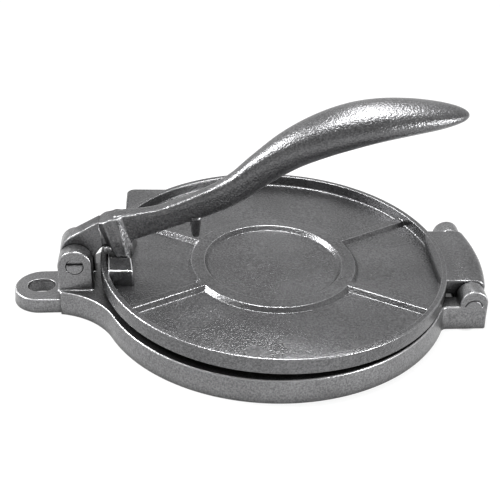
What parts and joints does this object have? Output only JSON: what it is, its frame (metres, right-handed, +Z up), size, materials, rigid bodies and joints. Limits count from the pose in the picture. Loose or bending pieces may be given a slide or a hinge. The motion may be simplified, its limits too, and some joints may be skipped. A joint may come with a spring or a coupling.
{
  "type": "tortilla press",
  "caption": "Hand lever tortilla press in cast metal: round base, hinged dished top plate, and a pivoted lever whose foot presses in the plate's seat.",
  "frame": {"origin": "centre of the round base, on the surface that it stands on", "axes": "+X to the plates' hinge, away from the hanging lug; +Y to the side with the lift tab; +Z up"},
  "size_m": [0.2844, 0.2132, 0.1285],
  "materials": {
    "cast_iron": "grey cast surface with a fine grain, semi-gloss",
    "pin_steel": "plain steel, lightly worn"
  },
  "bodies": {
    "base": {"base": "cast_iron", "hinge_pin": "pin_steel", "lever_pin": "pin_steel"},
    "top_plate": {"top_plate": "cast_iron"},
    "lever": {"lever": "cast_iron"}
  },
  "joints": [
    {"name": "lever_pivot", "type": "hinge", "parent": "base", "child": "lever", "pos_m": [-0.1193, 0, 0.0313], "axis": [0, -1, 0], "range_deg": [0, 155]},
    {"name": "lid_hinge", "type": "hinge", "parent": "base", "child": "top_plate", "pos_m": [0.1156, 0, 0.014], "axis": [0, 1, 0], "range_deg": [0, 105]}
  ],
  "couplings": [
    {"joint": "lid_hinge", "follows": "lever_pivot", "ratio": 0.1}
  ]
}
